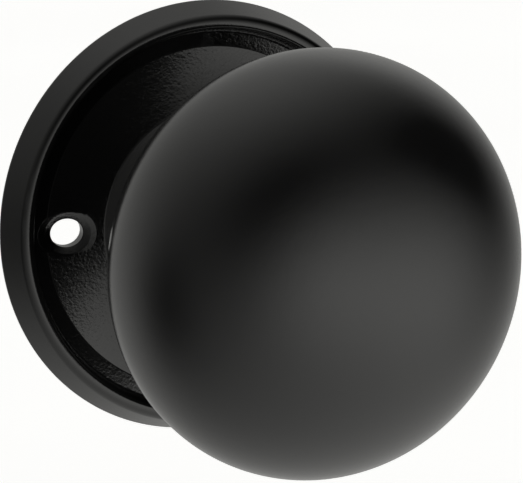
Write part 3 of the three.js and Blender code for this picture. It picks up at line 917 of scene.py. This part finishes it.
def shank():
    """Keyed tail, ring groove, journal, beaded and coved neck, and the clamped front end."""
    tail, tip = reach("shank")
    ring_back, ring_front = reach("circlip")
    neck_back = reach("neck_bush")[1] + 0.15
    neck_front = reach("base_plate")[0] - 0.15
    groove = JOURNAL_RADIUS - 1.0
    groove_gap = 0.05
    bead = radius("shank")
    bead_width = 1.0
    cove = 2.8
    waist = 9.6
    middle = 13.9
    outline = [
        (0, tip),
        (JOURNAL_RADIUS, tip, 0.5),
        (JOURNAL_RADIUS, neck_front),
    ]
    outline += arc((waist + cove, middle), cove, math.radians(128), math.radians(212), 16)
    outline += [
        (bead, neck_back + bead_width, 0.3),
        (bead, neck_back, 0.4),
        (JOURNAL_RADIUS, neck_back),
        (JOURNAL_RADIUS, ring_front + groove_gap, 0.08),
        (groove, ring_front + groove_gap),
        (groove, ring_back - groove_gap),
        (JOURNAL_RADIUS, ring_back - groove_gap, 0.05),
        (JOURNAL_RADIUS - 0.3, tail),
        (0, tail),
    ]
    piece = turned("neck_and_shank", rounded(outline))
    socket_half = SPINDLE_HALF + 0.15
    socket = block("socket", socket_half, socket_half, (tail - 1, reach("spindle")[1] + 0.3))
    combine(piece, socket, "DIFFERENCE")
    key_span = (tail - 1, reach("drive_plate")[1] + 0.1)
    cut_half = 2.5
    for side in (-1, 1):
        z = side * (KEY_HALF_WIDTH + cut_half)
        combine(piece, block("flat", 12, cut_half, key_span, z=z, round_corner=0.05), "DIFFERENCE")
    combine(piece, grub_hole_tool(), "DIFFERENCE")
    settle(piece, "shank", ball_coat)


def grub_hole_tool():
    """A tapped hole with a wider mouth, from inside the spindle's socket out past the neck."""
    start = 2 * MM
    tapped, tapped_end = 2.15, 7.2
    mouth, mouth_start = 2.6, 7.8
    length = 14
    outline = [
        (0, 0),
        (tapped, 0),
        (tapped, tapped_end),
        (mouth, mouth_start),
        (mouth, length),
        (0, length),
    ]
    place = grub_place() @ Matrix.Translation((0, start, 0))
    return turned("grub_hole", outline, 64, place)


def hexagon(name, corner, span, place=AT_DOOR):
    """A plain hexagonal bar, along the knob's axis unless it is placed elsewhere."""

    def loops(inset):
        return [circle(0, 0, corner - inset, 6)]

    return sheet(name, loops, [(span[0], 0), (span[1], 0)], place)


def clamp_nut():
    """A hexagon nut with its corners chamfered."""
    back, front = reach("clamp_nut")
    corner = radius("clamp_nut")
    bore = JOURNAL_RADIUS + 0.15
    piece = hexagon("hexagon_nut", corner, (back - 1, front + 1))
    face = corner - 1.4
    beyond = corner + 0.3
    chamfer = 0.9
    outline = [(bore, back, 0.3), (face, back), (beyond, back + chamfer)]
    outline += [(beyond, front - chamfer), (face, front), (bore, front, 0.3)]
    combine(piece, turned("nut_form", rounded(outline), 96), "INTERSECT")
    settle(piece, "clamp_nut", zinc)


def grub_place():
    """Turns a piece drawn along the knob's axis so that it points down, at the grub screw."""
    low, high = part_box("grub_screw")
    spot = Matrix.Translation(((low.x + high.x) / 2, (low.y + high.y) / 2, high.z))
    return spot @ Matrix.Rotation(QUARTER, 4, "X")


def grub_screw():
    """A pointed screw with a hexagon socket."""
    low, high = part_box("grub_screw")
    length = (high.z - low.z) / MM
    size = radius("grub_screw")
    point, point_length = 1.2, 0.8
    outline = [(0, 0), (point, 0, 0.1), (size, point_length, 0.1), (size, length, 0.3), (0, length)]
    piece = turned("neck_grub_screw", rounded(outline), 72, grub_place())
    across_flats = 2
    socket_depth = 2.2
    socket_span = (length - socket_depth, length + 1)
    tool = hexagon("hex_tool", across_flats / math.sqrt(3), socket_span, grub_place())
    combine(piece, tool, "DIFFERENCE")
    settle(piece, "grub_screw", dark_steel)


def spindle():
    """A square bar with slightly broken edges and a bevelled end."""
    back, front = reach("spindle")
    bevel = 0.8
    edge = 0.25

    def loops(inset):
        a = SPINDLE_HALF - inset
        return [rounded([(a, -a, edge), (a, a, edge), (-a, a, edge), (-a, -a, edge)], 4)]

    layers = [(back, bevel), (back + bevel, 0), (front - bevel, 0), (front, bevel)]
    settle(sheet("square_spindle", loops, layers), "spindle", drawn_zinc)


rose_casting()
neck_bush()
return_spring()
cover_plate()
cover_screw("cover_screw_left", "lid_screw_left")
cover_screw("cover_screw_right", "lid_screw_right")
knob_ball()
base_plate()
shank()
clamp_nut()
washer("locking_washer", "lock_washer", JOURNAL_RADIUS + 0.2, dark_steel)
washer("brass_thrust_washer", "thrust_washer", JOURNAL_RADIUS + 0.2, brass)
washer("steel_shim_washer", "shim_washer", JOURNAL_RADIUS + 0.15, zinc, 0.06)
drive_plate()
drive_pin("drive_pin_top", "stop_pin_top")
drive_pin("drive_pin_bottom", "stop_pin_bottom")
wave_washer()
circlip()
spindle()
grub_screw()

# ---------- floor, light and camera ----------


def pale_floor():
    """A wide pale floor well below the knob. It is left out of reflections, which the studio
    round it supplies."""
    drop = 0.25
    size = 3.0
    bm = bmesh.new()
    bm.faces.new([bm.verts.new((x, y, 0)) for x, y in circle(0, 0, size, 96)])
    floor = to_object("floor", bm, Matrix.Translation((0, 0, -drop)))
    s = Shader("pale_floor")
    clouds = s.spread(s.noise(300), 0, 1)
    s.set("Base Color", s.blend(clouds, SOFT_WHITE, WHITE))
    s.set("Roughness", 0.9)
    s.set("Emission Color", (1, 1, 1, 1))
    s.set("Emission Strength", 0.55)
    floor.data.materials.append(s.material)
    floor.visible_glossy = False


def direction(azimuth, elevation):
    """The way to a light, azimuth 0 towards the user and positive to the user's right."""
    a, e = math.radians(azimuth), math.radians(elevation)
    return Vector((math.sin(a) * math.cos(e), -math.cos(a) * math.cos(e), math.sin(e)))


# Soft lights of the studio: azimuth, elevation, tightness, brightness. A negative one is a black
# card that takes light away.
STUDIO = {
    "front_panel": (1, 0, 6.2, 1.5),
    "right_panel": (48, -6, 7.0, 1.2),
    "table": (45, -58, 1.0, 0.98),
    "overhead": (-172, 69, 3.1, 0.72),
    "back_left": (-118, -14, 4.7, 0.9),
    "back_right": (131, 30, 16.0, 0.35),
    "left_card": (-104, -17, 6.1, -0.9),
    "right_card": (67, 11, 4.1, -0.9),
    "front_card": (-7, 15, 4.6, -0.9),
}
STUDIO_BASE = 0.02
STUDIO_TINT = (1.0, 0.997, 0.965)


def studio():
    """The light round the knob. The camera sees plain white."""
    world = bpy.data.worlds.new("studio")
    world.use_nodes = True
    tree = world.node_tree
    nodes, links = tree.nodes, tree.links
    nodes.clear()

    def scalar(operation, *values):
        made = nodes.new("ShaderNodeMath")
        made.operation = operation
        for socket, value in zip(made.inputs, values):
            if isinstance(value, bpy.types.NodeSocket):
                links.new(value, socket)
            else:
                socket.default_value = value
        return made.outputs[0]

    towards = nodes.new("ShaderNodeTexCoord").outputs["Generated"]
    total = STUDIO_BASE
    for azimuth, elevation, tightness, brightness in STUDIO.values():
        dot = nodes.new("ShaderNodeVectorMath")
        dot.operation = "DOT_PRODUCT"
        links.new(towards, dot.inputs[0])
        dot.inputs[1].default_value = direction(azimuth, elevation)
        fall = scalar("MULTIPLY", scalar("SUBTRACT", dot.outputs["Value"], 1.0), tightness)
        total = scalar("ADD", total, scalar("MULTIPLY", scalar("EXPONENT", fall), brightness))
    total = scalar("MAXIMUM", total, STUDIO_BASE)
    tinted = nodes.new("ShaderNodeVectorMath")
    tinted.operation = "SCALE"
    tinted.inputs[0].default_value = STUDIO_TINT
    links.new(total, tinted.inputs["Scale"])
    light = nodes.new("ShaderNodeBackground")
    links.new(tinted.outputs[0], light.inputs["Color"])
    plain = nodes.new("ShaderNodeBackground")
    plain.inputs["Color"].default_value = (1, 1, 1, 1)
    mix = nodes.new("ShaderNodeMixShader")
    links.new(nodes.new("ShaderNodeLightPath").outputs["Is Camera Ray"], mix.inputs[0])
    links.new(light.outputs[0], mix.inputs[1])
    links.new(plain.outputs[0], mix.inputs[2])
    links.new(mix.outputs[0], nodes.new("ShaderNodeOutputWorld").inputs["Surface"])
    bpy.context.scene.world = world


def camera():
    """The photograph's viewpoint: 27 degrees to the left, 13 above, through a long lens."""
    azimuth, elevation = -27.2, 12.65
    unit = ROSE_RADIUS * MM
    aside, above, away = 0.277, -0.118, 13.794  # from the middle of the rose's back, in rose radii
    back = direction(azimuth, elevation)
    right = Vector((math.cos(math.radians(azimuth)), math.sin(math.radians(azimuth)), 0))
    up = back.cross(right)
    eye = bpy.data.cameras.new("eye")
    eye.sensor_width = 36
    eye.lens = 206.5
    eye.clip_end = 20
    holder = bpy.data.objects.new("eye", eye)
    bpy.context.scene.collection.objects.link(holder)
    middle = Vector((0, DOOR, 0))
    holder.location = middle + unit * (right * aside + up * above + back * away)
    holder.rotation_mode = "QUATERNION"
    holder.rotation_quaternion = Matrix((right, up, back)).transposed().to_quaternion()
    bpy.context.scene.camera = holder


pale_floor()
studio()
camera()
bpy.context.scene.view_settings.view_transform = "Standard"
